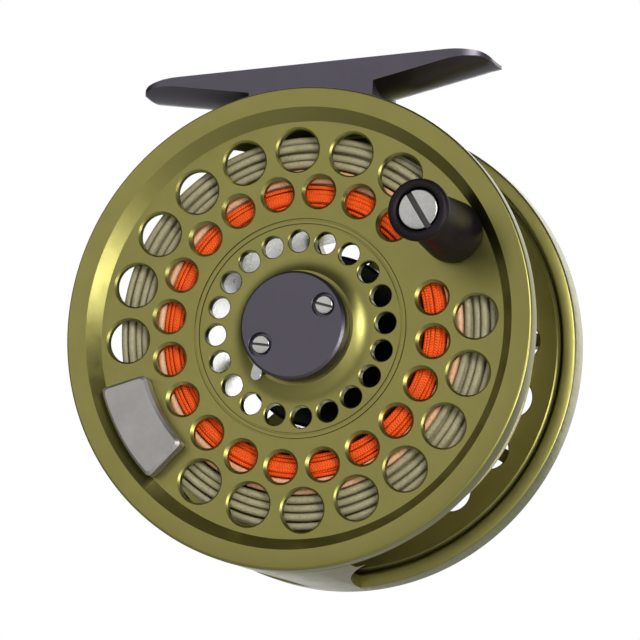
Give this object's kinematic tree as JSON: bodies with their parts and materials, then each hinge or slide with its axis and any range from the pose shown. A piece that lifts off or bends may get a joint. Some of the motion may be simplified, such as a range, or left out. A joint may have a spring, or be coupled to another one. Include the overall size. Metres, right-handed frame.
{
  "type": "fly reel",
  "caption": "Large-arbor click-and-pawl fly reel: ported spool with side rim, counterweight and tapered handle, wound line, open-cage frame with spoked back and rod foot.",
  "frame": {"origin": "middle of the flat strip along the top of the foot, where the rod's reel seat bears", "axes": "+Z out of the foot towards the rod, +Y along the spool's axis towards the spoked back, +X along the foot to the right when facing the spool"},
  "size_m": [0.0788, 0.0497, 0.0855],
  "materials": {
    "olive_anodised": "satin anodised, olive green",
    "dark_anodised": "satin anodised, dark slate",
    "black_anodised": "matt anodised, black",
    "steel": "turned stainless steel",
    "bright_steel": "fine-turned stainless steel",
    "blasted_steel": "bead-blasted stainless steel with bright edges",
    "brass": "plain bushing brass",
    "black_acetal": "turned black acetal, satin",
    "orange_backing": "braided orange backing",
    "peach_line": "smooth peach coated line",
    "olive_line": "smooth pale olive coated line"
  },
  "bodies": {
    "frame": {"frame": "olive_anodised", "reel_foot": "dark_anodised", "foot_screw_left": "steel", "foot_screw_right": "steel", "spindle": "steel", "spindle_screw": "steel", "click_housing": "black_anodised", "housing_screw_1": "steel", "housing_screw_2": "steel", "housing_screw_3": "steel", "pawl_post_left": "steel", "pawl_post_right": "steel", "pawl_clip_left": "steel", "pawl_clip_right": "steel"},
    "pawl_left": {"pawl_left": "steel", "pawl_spring_left": "steel"},
    "pawl_right": {"pawl_right": "steel", "pawl_spring_right": "steel"},
    "spool": {"spool": "olive_anodised", "hub_bushing_front": "brass", "hub_bushing_rear": "brass", "click_gear": "steel", "gear_clip": "steel", "counterweight": "blasted_steel", "weight_screw_1": "steel", "weight_screw_2": "steel", "latch_cap": "dark_anodised", "cap_screw_1": "steel", "cap_screw_2": "steel", "handle_post": "steel", "handle_screw": "bright_steel", "backing": "orange_backing", "line_loop": "peach_line", "fly_line": "olive_line"},
    "latch": {"latch_lever": "bright_steel", "latch_spring": "steel"},
    "knob": {"handle_knob": "black_acetal"}
  },
  "joints": [
    {"name": "spool_spin", "type": "hinge", "parent": "frame", "child": "spool", "pos_m": [0, -0.0153, -0.0447], "axis": [0, -1, 0], "continuous": true},
    {"name": "knob_spin", "type": "hinge", "parent": "spool", "child": "knob", "pos_m": [0.02624, -0.0253, -0.03122], "axis": [0, -1, 0], "continuous": true},
    {"name": "latch_press", "type": "hinge", "parent": "spool", "child": "latch", "pos_m": [-0.00543, -0.0173, -0.04749], "axis": [0, -1, 0], "range_deg": [0, 10], "stiffness_Nm_per_rad": 0.002, "springref_deg": -5.73},
    {"name": "pawl_left_lift", "type": "hinge", "parent": "frame", "child": "pawl_left", "pos_m": [-0.0099, 0.0071, -0.0395], "axis": [0, 1, 0], "range_deg": [0, 8], "stiffness_Nm_per_rad": 0.002, "springref_deg": -5.73},
    {"name": "pawl_right_lift", "type": "hinge", "parent": "frame", "child": "pawl_right", "pos_m": [0.0099, 0.0071, -0.0395], "axis": [0, -1, 0], "range_deg": [0, 8], "stiffness_Nm_per_rad": 0.002, "springref_deg": -5.73}
  ]
}
